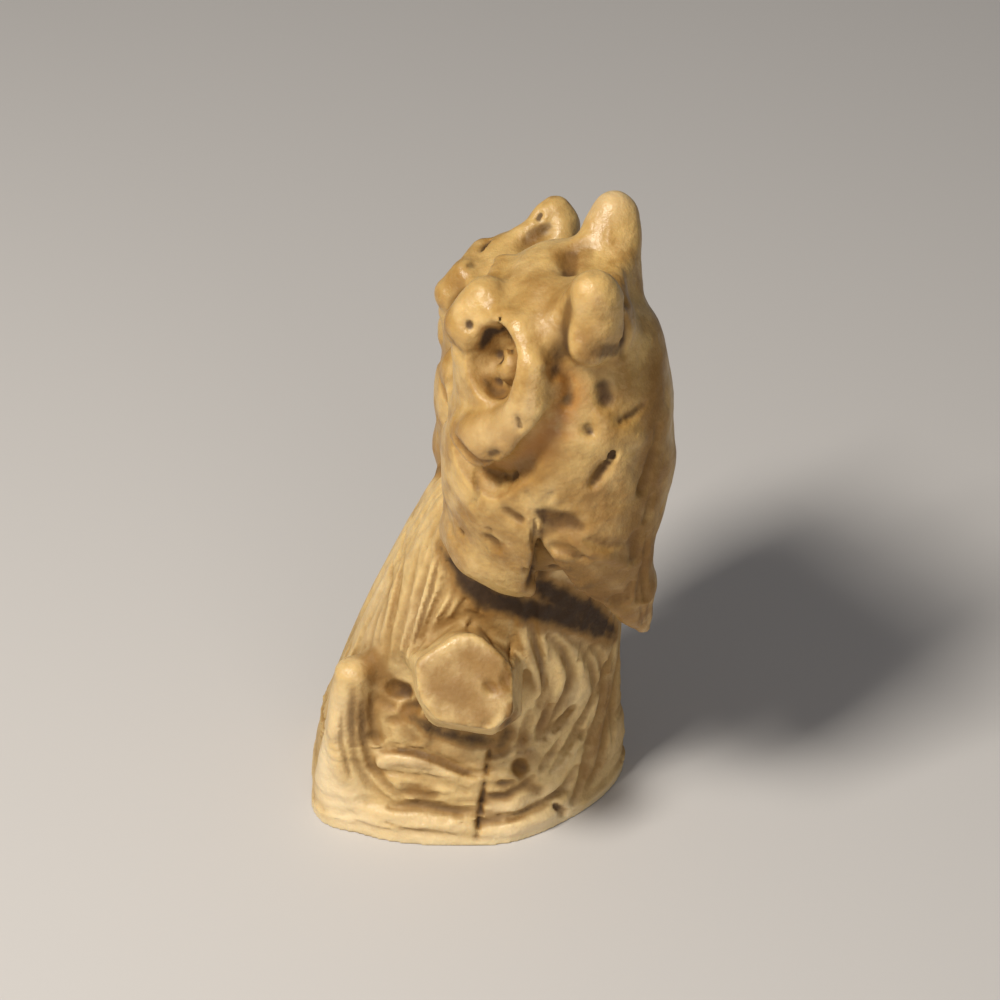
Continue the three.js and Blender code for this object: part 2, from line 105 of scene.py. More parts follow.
BEAK = {
    "points": [(0, -0.09, 0.874), (0, -0.12, 0.817), (0, -0.127, 0.768)],
    "radii": [0.046, 0.054, 0.034],
}
THROAT = {
    "points": [(0, -0.2, 0.61), (0.06, -0.172, 0.595), (0.103, -0.15, 0.568), (0.147, -0.109, 0.554),
               (0.19, -0.06, 0.602), (0.215, -0.014, 0.69), (0.213, 0.018, 0.76)],
    "radii": [0.02, 0.028, 0.036, 0.04, 0.038, 0.032, 0.016],
}
TURN_PIVOT = 0.045

# Widths over which each form of an owl runs into the ones before it
BLEND = {
    "belly": 0.06, "rump": 0.045, "wing edge": 0.025, "seat": 0.02, "head": 0.08, "forehead": 0.036,
    "horn": 0.034, "tuft": 0.023, "crown dip": 0.045, "face": 0.014, "cheek": 0.014, "rim": 0.014,
    "socket": 0.012, "eye": 0.016, "beak": 0.02, "throat": 0.01,
}


# Distance fields
def ellipsoid(p, at, radii):
    q = (p - np.float32(at)) / np.float32(radii)
    near = np.sqrt((q * q).sum(-1)) + 1e-9
    q /= np.float32(radii)
    return near * (near - 1) / (np.sqrt((q * q).sum(-1)) + 1e-9)


def taper(p, start, end, start_radius, end_radius):
    start, end = np.float32(start), np.float32(end)
    along = end - start
    away = p - start
    t = np.clip(away @ along / float(along @ along), 0, 1)
    gap = away - t[..., None] * along
    return np.sqrt((gap * gap).sum(-1)) - (start_radius + (end_radius - start_radius) * t)


def strand(p, points, radii):
    pieces = zip(points, points[1:], radii, radii[1:])
    nearest = None
    for start, end, start_radius, end_radius in pieces:
        d = taper(p, start, end, start_radius, end_radius)
        nearest = d if nearest is None else np.minimum(nearest, d)
    return nearest


def join(a, b, blend):
    h = np.clip(0.5 + 0.5 * (b - a) / blend, 0, 1)
    return b + (a - b) * h - blend * h * (1 - h)


def cut(a, b, blend):
    return -join(-a, b, blend)


def ease(start, end, x):
    t = np.clip((x - start) / (end - start), 0, 1)
    return t * t * (3 - 2 * t)


def swing(p, pivot_y, degrees):
    a = math.radians(degrees)
    x, y = p[..., 0], p[..., 1] - pivot_y
    turned = (x * math.cos(a) + y * math.sin(a), pivot_y - x * math.sin(a) + y * math.cos(a), p[..., 2])
    return np.stack(turned, -1)


def nod(p, at, degrees):
    a = math.radians(degrees)
    x, y, z = p[..., 0] - at[0], p[..., 1] - at[1], p[..., 2] - at[2]
    return np.stack((x, y * math.cos(a) + z * math.sin(a), -y * math.sin(a) + z * math.cos(a)), -1)


def mirrored(p):
    q = p.copy()
    q[..., 0] = np.abs(q[..., 0])
    return q


def owl(p, turn):
    sides = mirrored(p)
    face = swing(p, TURN_PIVOT, turn["face"])
    face_sides = mirrored(face)
    horn_sides = mirrored(swing(p, TURN_PIVOT, turn["horns"]))
    middle = (0, 0, 0)
    d = ellipsoid(nod(p, BODY["at"], BODY_NOD), middle, BODY["radii"])
    d = join(d, ellipsoid(p, **BELLY), BLEND["belly"])
    d = join(d, strand(sides, **RUMP), BLEND["rump"])
    start, slope = WING_EDGE["start"], WING_EDGE["slope"]
    below = p[..., 2] - (WING_EDGE["level"] - slope * (p[..., 1] - start))
    d = cut(d, np.maximum(below / math.hypot(1, slope), start - p[..., 1]), BLEND["wing edge"])
    d = join(d, strand(sides, **SEAT), BLEND["seat"])
    d = join(d, ellipsoid(face, **HEAD), BLEND["head"])
    forehead = ellipsoid(nod(face, FOREHEAD["at"], FOREHEAD_NOD), middle, FOREHEAD["radii"])
    d = join(d, forehead, BLEND["forehead"])
    d = join(d, strand(horn_sides, **HORN), BLEND["horn"])
    d = join(d, strand(horn_sides, **TUFT), BLEND["tuft"])
    d = cut(d, ellipsoid(face, **CROWN_DIP), BLEND["crown dip"])
    d = join(d, ellipsoid(face, **FACE), BLEND["face"])
    d = join(d, ellipsoid(face_sides, **CHEEK), BLEND["cheek"])
    d = join(d, strand(face_sides, **RIM), BLEND["rim"])
    d = cut(d, ellipsoid(face_sides, **SOCKET), BLEND["socket"])
    d = join(d, ellipsoid(face_sides, **EYE), BLEND["eye"])
    d = join(d, strand(face, **BEAK), BLEND["beak"])
    return cut(d, strand(face_sides, **THROAT), BLEND["throat"])


def stump(p):
    x, y, z = p[..., 0], p[..., 1], p[..., 2]
    around, side, half = stump_section(x, y, z)
    return cut((around - 1) * np.minimum(side, half) * 0.85, STUMP_HEIGHT - z, STUMP_TOP_ROUNDING)


def stump_section(x, y, z):
    """How far out a point is in the stump's outline at its height, 1 on the outline, and the
    outline's half width and half length there."""
    rise = np.clip(z / STUMP_HEIGHT, 0, 1.3)
    front = -BASE_LENGTH / 2 + STUMP_LEAN * rise ** 1.4
    back = BASE_LENGTH / 2 - 0.02 * BASE_LENGTH * ease(0, 0.35, z / STUMP_HEIGHT)
    middle, half = (front + back) / 2, (back - front) / 2
    spread = 0.47 * ease(0, 0.12, rise) + 0.53 * ease(0.09, 0.32, rise)
    side = BASE_WIDTH / 2 - (BASE_WIDTH - STUMP_WIDTH) / 2 * spread
    square = 2.7 - 1.0 * ease(-0.2 * BASE_LENGTH, 0.32 * BASE_LENGTH, y)
    around = np.abs(x / side) ** square + np.abs((y - middle) / half) ** square
    return around ** (1 / square), side, half


BRANCH_AXIS = np.float32(Vector((0.79, -0.05, 0.6)).normalized())
BRANCH_END = np.float32((STUMP_WIDTH / 2 + BRANCH_REACH, 0, BRANCH_LEVEL))
BRANCH_FLARE = 0.2
BRANCH_CORNER = 0.5
BRANCH_UP = np.float32((-0.604, 0, 0.797))
# Sides of the sawn face: direction in degrees from +Y towards the top, and distance in radii
BRANCH_SIDES = (
    (0, 1.0), (48, 0.86), (92, 0.9), (124, 0.84), (184, 0.98), (218, 1.0), (261, 0.97), (306, 1.2),
)


def branch(p):
    q = p - BRANCH_END
    along = q @ BRANCH_AXIS
    over, up = q[..., 1], q @ BRANCH_UP
    flare = BRANCH_FLARE * np.maximum(0, -along - 0.4 * BRANCH_REACH)
    out = None
    for degrees, share in BRANCH_SIDES:
        a = math.radians(degrees)
        beyond = over * math.cos(a) + up * math.sin(a) - share * BRANCH_DIAMETER / 2
        out = beyond if out is None else -join(-out, -beyond, BRANCH_CORNER)
    sawn = cut(out - flare, -along, BRANCH_CORNER)
    return np.maximum(sawn, -along - 1.2 * BRANCH_REACH)


def root(p):
    side = BASE_WIDTH * 0.25
    y = 0.375 * ROOT_DIAMETER - 0.46 * BASE_LENGTH
    top = (side, y + 1, ROOT_HEIGHT - 1.4)
    post = taper(p, (side, y, 0), top, ROOT_DIAMETER / 2, ROOT_DIAMETER / 4)
    return cut(post, ROOT_HEIGHT - p[..., 2], FILLET)


def root_hollow(p):
    at = (STUMP_WIDTH / 2 + 0.8, -0.22 * BASE_LENGTH, 0.92 * ROOT_HEIGHT)
    return ellipsoid(p, at, ROOT_HOLLOW)


def root_gap(p):
    y = -0.26 * BASE_LENGTH
    upper = (STUMP_WIDTH / 2 + 0.4, y, ROOT_HEIGHT + 1.5)
    lower = (STUMP_WIDTH / 2 - 0.4, y + 0.8, 0.72 * ROOT_HEIGHT)
    return taper(p, upper, lower, *ROOT_GAP)


VALLEY_SIDE = MIDLINE - 0.09 * OWL_SPACING


def valley_floor(p):
    """What fills the valley between the two owls, well below their backs and chests, and nearer the
    smaller one, and the web where their heads touch."""
    y = (NEAR_OWL_SETBACK + FAR_OWL_SETBACK) / 2 + 2
    radii = (0.23 * OWL_SPACING, 0.14 * NEAR_OWL_HEIGHT, 0.37 * NEAR_OWL_HEIGHT)
    floor = ellipsoid(p, (VALLEY_SIDE, y, NEAR_TAIL_LEVEL + 0.43 * NEAR_OWL_HEIGHT), radii)
    return join(floor, head_web(p), FILLET)


def head_web(p):
    y = NEAR_OWL_SETBACK - 0.075 * NEAR_OWL_HEIGHT
    radii = (0.21 * OWL_SPACING, 0.07 * NEAR_OWL_HEIGHT, 0.1 * NEAR_OWL_HEIGHT)
    return ellipsoid(p, (VALLEY_SIDE, y, NEAR_TAIL_LEVEL + 0.67 * NEAR_OWL_HEIGHT), radii)


def placed_owl(p, height, at, turn):
    return owl((p - np.float32(at)) / height, turn) * height


def owls_and_wood(p):
    near = placed_owl(p, NEAR_OWL_HEIGHT, NEAR_AT, NEAR_TURN)
    far = placed_owl(p, FAR_OWL_HEIGHT, FAR_AT, FAR_TURN)
    wood = join(stump(p), branch(p), FILLET)
    wood = join(wood, root(p), FILLET)
    wood = cut(wood, root_hollow(p), ROOT_HOLLOW_FILLET)
    owls = join(join(near, far, FILLET), valley_floor(p), FILLET)
    return owls, cut(wood, root_gap(p), ROOT_GAP_FILLET)


def plain_form(p):
    owls, wood = owls_and_wood(np.float32(p))
    return join(owls, wood, FILLET)


# Smooth noise from -1 to 1 over points whose lattice is 1 apart
def noise(p, seed):
    cell = np.floor(p).astype(np.int64)
    part = p - cell
    weight = part * part * (3 - 2 * part)
    total = np.zeros(p.shape[:-1], np.float32)
    for corner in itertools.product((0, 1), repeat=3):
        at = (cell + corner).astype(np.uint32)
        mixed = at[..., 0] * 374761393 + at[..., 1] * 668265263 + at[..., 2] * 2246822519 + seed
        mixed = (mixed ^ (mixed >> 13)) * 1274126177
        level = ((mixed ^ (mixed >> 16)) & 0xFFFF) / 32767.5 - 1
        total += level * np.prod(np.where(corner, weight, 1 - weight), -1)
    return total


# Grain of the wood. It runs up the stump, parts round the branch, and turns level on the foot.
GRAIN_ROUND = 11
GRAIN_UP = 1.5
KNOT = 26
GROOVE_DEPTH = 0.3
RIB_HEIGHT = 0.15
HAIR_DEPTH = 0.05
SAWN_SMOOTHNESS = 0.75


def grain_line(p):
    """Grows by one from one ring of the grain to the next."""
    x, y, z = p[..., 0], p[..., 1], p[..., 2]
    turn_round = np.arctan2(y - 0.1 * z, x)
    upright = turn_round * GRAIN_ROUND
    past = upright - 0.5
    rise = z - (BRANCH_LEVEL - 4.5)
    swerve = KNOT / np.maximum(KNOT, past ** 2 + rise ** 2) * (x > 0)
    upright = past * (1 - swerve)
    level = GRAIN_UP * (z + 0.12 * np.abs(y))
    flat = 1 - ease(5.5, 11, z - 0.35 * np.maximum(0, y - 3) + 3 * (x < 5))
    bend = noise(p / 5.5, 11) * 1.1 + noise(p / 1.9, 12) * 0.35
    return upright * (1 - flat) + level * flat + bend


def wood_relief(p):
    line = grain_line(p)
    z = p[..., 2]
    spread = np.stack((line / 1.25, z / 13, np.zeros_like(z)), -1)
    close = np.stack((line / 0.6, z / 8, np.ones_like(z)), -1)
    rib = noise(spread, 21)
    hair = noise(close, 22)
    groove = np.clip(1 - np.abs(rib) / 0.22, 0, 1)
    strength = 0.6 + 0.4 * noise(p / 3.5, 23)
    end = p - BRANCH_END
    sawn = ease(-0.9, -0.3, end @ BRANCH_AXIS) * (np.sqrt((end * end).sum(-1)) < BRANCH_DIAMETER)
    full = GROOVE_DEPTH * groove * strength - RIB_HEIGHT * rib + HAIR_DEPTH * hair
    return (full * (1 - SAWN_SMOOTHNESS * sawn)).astype(np.float32)


def owl_relief(p):
    """Lumps and pits of the casting, fainter on the heads."""
    head = ease(38, 47, p[..., 2])
    lumps = 0.2 * noise(p / 3.2, 31) + 0.13 * noise(p / 1.7, 32) * (1 - 0.4 * head)
    pits = 0.35 * ease(0.56, 0.82, noise(p / 1.15, 34)) * (1 - 0.8 * head)
    return lumps + pits + 0.02 * noise(p / 0.7, 33)


# The photograph is taken from the side with the branch, 37 degrees above the ground. Marks and
# stains are placed by points across and up from the middle of that view, in millimetres.
ELEVATION = math.radians(37)
DISTANCE = 250.0
FIELD_WIDTH = 93.46
VIEW_MIDDLE = np.array((0, 3.2, 33.0))
VIEW_BACK = np.array((math.cos(ELEVATION), 0, math.sin(ELEVATION)))
VIEW_ACROSS = np.array((0, 1.0, 0))
VIEW_UP = np.array((-math.sin(ELEVATION), 0, math.cos(ELEVATION)))
EYE_POINT = VIEW_MIDDLE + DISTANCE * VIEW_BACK
SIGHT_SPAN = 45
SIGHT_STEPS = 90
SIGHT_SHARE = 0.6
NEAR_ENOUGH = 0.05
MARK_STEP = 0.7
MARK_GAP = 2.5
MARK_REACH = 1.6
STAIN_REACH = 2
END_THINNING = 0.35


def seen(points):
    """Where lines of sight through points of the view meet the form, and whether they do."""
    points = np.array(points)
    sight = VIEW_MIDDLE + points[:, :1] * VIEW_ACROSS + points[:, 1:] * VIEW_UP - EYE_POINT
    sight /= np.linalg.norm(sight, axis=1, keepdims=True)
    along = np.full(len(points), DISTANCE - SIGHT_SPAN)
    for _ in range(SIGHT_STEPS):
        gap = plain_form(EYE_POINT + along[:, None] * sight)
        along = np.minimum(along + SIGHT_SHARE * gap, DISTANCE + SIGHT_SPAN)
    return np.float32(EYE_POINT + along[:, None] * sight), np.abs(gap) < NEAR_ENOUGH


def traced(strokes):
    """Strokes drawn on the view, as short straight pieces that lie on the form."""
    stops = []
    owner = []
    for number, (points, *_) in enumerate(strokes):
        for start, end in zip(points, points[1:]):
            steps = math.ceil(math.dist(start, end) / MARK_STEP)
            stops += [np.array(start) + (np.array(end) - start) * i / steps for i in range(steps)]
            owner += [number] * steps
        stops.append(np.array(points[-1]))
        owner.append(number)
    places, met = seen(stops)
    pieces = [[] for _ in strokes]
    for i in range(len(stops) - 1):
        whole = owner[i] == owner[i + 1] and met[i] and met[i + 1]
        if whole and math.dist(places[i], places[i + 1]) < MARK_GAP:
            pieces[owner[i]].append((places[i], places[i + 1]))
    return [(piece, *rest) for piece, (_, *rest) in zip(pieces, strokes) if piece]


def near_stroke(p, pieces, reach):
    """Which points lie within reach of a stroke, and how far from it they are, with more added
    towards the ends of a long stroke so that it thins out."""
    ends = np.array(pieces).reshape(-1, 3)
    close = np.all((p > ends.min(0) - reach) & (p < ends.max(0) + reach), -1)
    q = p[close]
    away = np.full(len(q), reach, np.float32)
    for number, (start, end) in enumerate(pieces):
        off_middle = abs((2 * number + 1) / len(pieces) - 1)
        thinner = END_THINNING * reach * off_middle ** 3 if len(pieces) > 3 else 0
        away = np.minimum(away, taper(q, start, end, 0, 0) + thinner)
    return close, away


# Marks cut in the surface: points, half width and depth. A negative depth is a raised ridge.
MARKS = [
    # head of the larger owl
    ([(6.6, 23), (6.4, 21.5)], 0.8, 0.5),
    ([(7.3, 23.7), (8.4, 23.4)], 0.6, 0.2),
    ([(8, 17), (7.9, 15.7)], 0.8, 0.15),
    ([(11.8, 18.7), (11.8, 15.9), (11.7, 13.6)], 0.55, 1),
    ([(9.2, 13.8), (11, 13.8)], 1, 0.3),
    ([(6.2, 18.7), (5.6, 15.9), (5.6, 12.6)], 1.2, 0.35),
    ([(-2.9, 16.4), (-2.9, 16.3)], 0.45, 0.45),
    ([(0, 17), (0.7, 15.7), (1.2, 13.8)], 0.3, 0.4),
    ([(4.2, 12), (5.6, 12.1), (6.6, 11.2), (6.7, 9.7), (6.2, 9.2), (5.2, 8.8)], 0.4, 0.35),
    ([(5.2, 11.6), (5.4, 12)], 0.5, 0.4),
    ([(6.4, 9.3), (6.4, 9.1)], 0.5, 0.5),
    ([(1.6, 7.5), (1.8, 6.8)], 0.35, 0.4),
    ([(-0.9, 4.1), (-0.4, 4.3)], 0.5, 0.35),
    ([(-1.9, 3.4), (-0.2, 3.5)], 0.4, 0.3),
    ([(-0.1, 13.6), (-0.1, 13.2)], 0.5, 0.6),
    ([(-0.3, 11), (-0.4, 10.2), (0.2, 10)], 0.55, 0.7),
    ([(-5, 15.3), (-4.4, 14.3), (-3.6, 13.5)], 0.35, 0.5),
    ([(-4.1, 5.6), (-3.6, 4.7), (-2.8, 3.9), (-2.1, 3.1)], 0.45, 1),
    ([(-2.1, 3.1), (-0.7, 2.5), (0.9, 2.2)], 0.4, 0.45),
    ([(6.6, 25.2), (7.8, 26.6)], 1.5, -0.45),
    # side of the larger owl
    ([(9.7, 10.5), (10, 9.2)], 0.7, 0.5),
    ([(8.2, 6.6), (8.4, 6.4)], 0.45, 0.6),
    ([(13.4, 8.8), (12.5, 7.9), (11.4, 7.4)], 0.4, 0.8),
    ([(10.4, 4.4), (10.4, 4.1)], 0.4, 0.7),
    ([(10, 3.4), (9.3, 2.4), (8.8, 1.5)], 0.5, 0.9),
    ([(14.6, 4.8), (14.2, 3.4), (13.7, 2)], 0.5, 1.1),
    ([(13.6, 1.7), (13.3, 1.1)], 0.6, 1.1),
    ([(14.2, 0), (13.7, -1.9)], 0.4, 0.6),
    ([(14.8, 6.7), (14.8, 5.8)], 0.4, 0.4),
    ([(-2.1, 2.8), (-2.1, 1.5), (-2.3, 0.3), (-2.6, -0.6)], 0.3, 0.9),
    ([(-0.3, 2.4), (-0.1, 1.7)], 0.3, 0.4),
    ([(1.1, 2.1), (1.5, 2.4)], 0.4, 0.5),
    ([(0.6, -1.2), (1.1, -1.5), (1.8, -1.9)], 0.5, 0.6),
    ([(-1.3, -3.6), (-0.7, -4), (-0.3, -4.6)], 0.5, 0.8),
    ([(3.2, -1.5), (3.2, -3), (3.2, -4.5)], 0.3, 0.5),
    ([(3.6, -1.3), (4.9, -2), (6.5, -2.2), (7.5, -2.6)], 0.9, 0.5),
    ([(3.5, -3.8), (4.4, -3.2), (5.6, -2.6)], 0.5, 0.4),
    ([(3.7, -4.9), (5, -4.4), (6.7, -4.9), (8, -5.8)], 0.5, 0.4),
    ([(3.4, -0.5), (2.4, 0.7)], 0.4, 0.2),
    ([(4.1, -0.6), (4.9, 0.6)], 0.4, 0.2),
    ([(4.5, -1.2), (6, -0.5)], 0.4, 0.2),
    ([(8.4, -3.7), (10.3, -4.4), (12, -4.2)], 0.5, 0.35),
    ([(5.2, -5.3), (6.7, -5.4)], 0.5, -0.3),
    ([(6.9, -4), (8.6, -5), (10.5, -5.6), (12.1, -6.2)], 0.5, -0.35),
    ([(9.3, 7.9), (10.5, 6.5), (13.1, 5.6)], 0.8, -0.3),
    ([(6.5, 5.6), (9.3, 5.1), (12.1, 3.7)], 0.9, -0.25),
    ([(11.2, 2.8), (12, 0.9)], 0.9, -0.25),
    ([(12.8, -3.6), (12.7, -5.2)], 0.8, 0.45),
    ([(13.8, -3.7), (13.5, -6.5), (13.6, -9.2)], 0.45, 0.9),
    ([(13.3, -6.9), (12.9, -9.3)], 0.35, 0.7),
    ([(12.3, -7.9), (11.9, -9.3)], 0.35, 0.6),
    ([(10.9, -9.3), (11, -9.6)], 0.6, 0.9),
    ([(11.4, -9.3), (12.1, -8.4)], 0.35, 0.6),
    ([(13.2, -10.1), (13.4, -11.8)], 0.3, 0.3),
    ([(14, -9.7), (13.8, -11.6)], 0.3, 0.3),
    # smaller owl
    ([(2.6, 25.4), (3.2, 26.4)], 1.3, -0.4),
    ([(-2.8, 22.9), (0, 24.3), (1.9, 25)], 1.4, -0.5),
    ([(-1.7, 23.1), (-1.1, 23.7), (-0.4, 24.2)], 0.4, 0.4),
    ([(-2.7, 22.1), (-2.4, 22.2)], 0.4, 0.5),
    ([(3.6, 26.2), (3.8, 26.6)], 0.35, 0.35),
    ([(1.9, 23.2), (3, 24.7), (4.5, 25.6)], 0.8, 0.3),
    # grain on the front of the stump
    ([(-7.7, 0), (-8.8, -2.8), (-9.5, -5.8)], 0.35, 0.25),
    ([(-9, -4.5), (-9.7, -8.4), (-10.5, -12.1), (-10.9, -15.7)], 0.4, 0.45),
    ([(-7.7, -4.5), (-8.6, -8.4), (-9.4, -12.1), (-10, -15.3)], 0.35, 0.4),
    ([(-6.5, -4.2), (-7.4, -7.9), (-8.3, -11.7), (-9.1, -15)], 0.35, 0.45),
    ([(-5.6, -4.7), (-6.4, -8.4), (-7.5, -11.7), (-8.5, -14.6)], 0.35, 0.4),
    ([(-4.8, -5.8), (-5.4, -8.6), (-6.5, -11.2), (-7.9, -14.2)], 0.35, 0.45),
    ([(-3.9, -7.9), (-5, -10.3), (-6.5, -12.7)], 0.35, 0.35),
    ([(-3.2, -9.3), (-4.3, -11.2), (-5.8, -12.7), (-6.9, -13.8)], 0.35, 0.3),
    ([(-10, -5.8), (-10.8, -9.3), (-11.6, -13.1)], 0.35, 0.35),
    ([(-10.4, -7.9), (-11.6, -10.7), (-12.3, -13.3)], 0.35, 0.3),
    ([(-9.2, -5.6), (-10.1, -9.3), (-10.8, -13.1)], 0.45, -0.3),
    ([(-5.9, -5.8), (-6.8, -9.3), (-8, -13.1)], 0.45, -0.25),
    ([(-4.8, -9.5), (-6, -11.4)], 0.5, -0.3),
    ([(-3.2, -10.5), (-1.9, -11.2), (-0.9, -12.5), (-0.4, -14)], 0.4, 0.45),
    ([(-6.7, -13.5), (-5.1, -11.7), (-3.2, -10.8)], 0.4, 0.3),
    # grain looping round the branch
    ([(3.1, -9.3), (3, -11.4), (3.4, -13.6), (4, -15.7), (4.2, -17.6), (3.6, -19.3)], 0.45, 0.55),
    ([(2.1, -13.1), (2.7, -14.5), (3.4, -16.8), (3.6, -18.1)], 0.6, -0.35),
    ([(4.5, -12.7), (5.8, -14), (6.6, -15.7), (6.4, -17.8), (5.3, -19.8), (4.3, -22.2)], 0.5, 0.5),
    ([(5.8, -12.3), (7.7, -13.8), (8.7, -15.7), (9, -17.8), (8, -20), (6.5, -22.8), (4.7, -25.4)],
     0.45, 0.45),
    ([(7.5, -13.1), (9.3, -14.4), (9.9, -16.8), (9.3, -19.8), (8.3, -22.9), (7.6, -26.6)], 0.45, 0.45),
    ([(5.4, -15), (5.8, -16.8), (5, -18.7)], 0.5, -0.3),
    ([(7.5, -15.3), (7.8, -17.4), (6.9, -19.4)], 0.5, -0.3),
    ([(10.7, -13.8), (9.9, -16.1), (9.3, -17.9)], 0.5, 0.6),
    ([(10.5, -18.7), (9.9, -22), (9.2, -24.8), (8.2, -26.9)], 0.45, 0.4),
    ([(11.2, -15), (10.7, -18.7), (10.5, -22.4)], 0.4, 0.3),
    ([(8.6, -19.3), (7.3, -22.4), (5.8, -25.4), (4.2, -28)], 0.5, -0.3),
    ([(4.7, -19.3), (4.2, -20.6), (3.6, -22.1)], 0.45, 0.9),
    ([(6.9, -19.4), (6.1, -20.3), (5.1, -21.5)], 0.4, 0.9),
    ([(7.5, -21.8), (7.7, -22)], 0.45, 0.5),
    ([(4.6, -23.9), (3.9, -25)], 0.4, 0.4),
    ([(5.6, -22.6), (4.5, -24.7)], 0.4, 0.3),
    ([(2.8, -19.8), (2.2, -22.1), (1.9, -23.6)], 0.5, 0.4),
    ([(8, -24), (7.4, -26.9), (6.9, -28.4)], 0.4, 0.5),
    # sawn branch and the holes beside it
    ([(0.8, -15.2), (0.7, -16.4), (0.2, -17.2)], 0.4, 0.9),
    ([(-1, -17.4), (-0.7, -17.6)], 0.5, 0.7),
    ([(-1.4, -21), (-1.1, -20.9)], 0.35, 0.5),
    ([(0.7, -16.8), (0.7, -17.2)], 0.45, 0.6),
    ([(-9.7, -17.8), (-9, -17.9)], 0.8, 0.8),
    ([(-8.6, -19.5), (-7.9, -19.3)], 0.6, 0.9),
    ([(-10.3, -20.7), (-9.5, -20.5), (-8.8, -20)], 0.4, 0.6),
    ([(-11.2, -18.7), (-10.1, -19.3)], 0.5, 0.3),
    # foot, left of the seam
    ([(-13.8, -17.8), (-14, -21.5), (-13.5, -24.5), (-12, -26.9), (-10.1, -28.4)], 0.5, 0.35),
    ([(-12.8, -19.1), (-12.7, -22.4), (-12, -24.9), (-10.8, -26.5), (-9.3, -27.8)], 0.5, 0.45),
    ([(-11.8, -18.3), (-11.9, -20.6), (-11.4, -22.4)], 0.45, 0.5),
    ([(-11.9, -22.1), (-11.5, -22.4)], 0.5, 0.6),
    ([(-12, -25), (-11.4, -25.6)], 0.45, 0.6),
    ([(-10.8, -23.2), (-8.2, -23.5), (-5.6, -24.4), (-3.4, -25.4), (-1.5, -25.6)], 0.55, 0.5),
    ([(-11.4, -24.5), (-9.2, -24), (-6.7, -24.5), (-4.7, -25.4), (-2.8, -26.2)], 0.8, -0.6),
    ([(-9.7, -27.6), (-8.2, -27.3), (-6.9, -27.7), (-5.8, -27.6)], 0.45, 0.6),
    ([(-9, -26.7), (-6.9, -26.9)], 0.4, 0.3),
    ([(-10.3, -28.6), (-7.5, -28.5), (-4.7, -29), (-2.4, -29.1)], 0.5, 0.6),
    ([(-14.4, -27.7), (-12.5, -29.2), (-9.7, -29.9), (-5.6, -30.3), (-2.8, -30.7)], 0.9, -0.45),
    ([(-15.3, -20.6), (-15.5, -23.4), (-14.6, -26)], 1, -0.4),
    ([(-11.2, -29.9), (-8.4, -30.8), (-4.2, -31.4)], 0.4, 0.3),
    ([(-14.8, -19.3), (-14.9, -22.8), (-14, -25.8)], 0.4, 0.35),
    ([(-10.8, -25.4), (-8.4, -25.8), (-5.6, -26.4), (-3.2, -27.3)], 0.5, 0.25),
    # foot, right of the seam
    ([(1.9, -24.9), (2.1, -25.3)], 0.7, 1.1),
    ([(0.2, -26.6), (0.6, -26.7)], 0.45, 0.7),
    ([(1.1, -26.4), (1.3, -26.7)], 0.35, 0.6),
    ([(3, -26), (2, -27), (0.6, -27.8), (-0.9, -27.9)], 0.5, 0.8),
    ([(2.8, -26.9), (3.7, -27.2)], 0.6, 0.4),
    ([(-1.3, -26.1), (0, -25.7), (1.5, -25.8)], 0.6, -0.35),
    ([(-1.5, -30.1), (1.3, -29.7), (4.1, -28.4), (6, -26.9), (7.1, -25)], 0.5, 0.45),
    ([(-1.9, -31.2), (1.1, -30.7), (3.9, -29.6), (6, -28.1)], 0.9, -0.45),
    ([(-1.1, -28.8), (1.9, -28.6)], 0.8, -0.3),
    ([(5.2, -28.6), (6, -29.2)], 0.4, 0.6),
]


def mark_relief(p, marks):
    """How deep the marks are cut at each point of a list."""
    total = np.zeros(len(p), np.float32)
    for pieces, half_width, depth in marks:
        reach = MARK_REACH * half_width
        close, away = near_stroke(p, pieces, reach)
        total[close] += depth * ease(0, 0.8, 1 - away / reach)
    return total


def mark_ink(p, marks):
    """How strongly stain has run into the marks at each point."""
    total = np.zeros(len(p), np.float32)
    for pieces, half_width, depth in marks:
        if depth < 0:
            continue
        reach = MARK_REACH * half_width
        close, away = near_stroke(p, pieces, reach)
        total[close] = np.maximum(total[close], min(1, 1.4 * depth) * ease(0.1, 0.75, 1 - away / reach))
    return total


# Painted shade on the wood, stain and painted shade anywhere, amber stain, and places where the stain is worn
# off or painted light falls:
# points, half width, strength
SHADE = [
    # between the owls and the stump
    ([(-5.4, -4.6), (-3.6, -7), (-1.2, -9.2), (2.6, -10.4), (5.6, -10.7), (8.6, -12), (12.5, -13.8)], 1.6, 1),
    ([(2.7, -7), (4.7, -8.7), (6.7, -9.7), (9.3, -11.4), (11.5, -12.7)], 1.5, 1),
    # under the branch and behind the root stub
    ([(-9.2, -19.8), (-6.5, -21.3), (-3.4, -22.2), (0, -22.6)], 1.1, 0.8),
    ([(1.5, -19.1), (0.7, -21.1), (0, -23.6)], 1, 0.75),
    ([(-12.3, -14.2), (-11.2, -16.4), (-9.5, -18.1)], 1.1, 0.55),
    ([(-10.5, -19), (-6, -24), (0, -24.5)], 2, 0.3),
    # right of the branch and along the right edge
    ([(1.9, -21.5), (2.8, -24.3), (1.9, -25.4), (3.4, -27.1)], 1.2, 0.35),
    ([(4.5, -18.7), (4.1, -22.4)], 1.2, 0.3),
    ([(6.7, -18.7), (5.6, -21.5)], 1.1, 0.25),
    ([(10.5, -15), (9.9, -19.6), (9, -24.3), (7.5, -28)], 1.6, 0.4),
    ([(-8.6, -27.1), (-6.5, -27.5)], 1, 0.4),
]
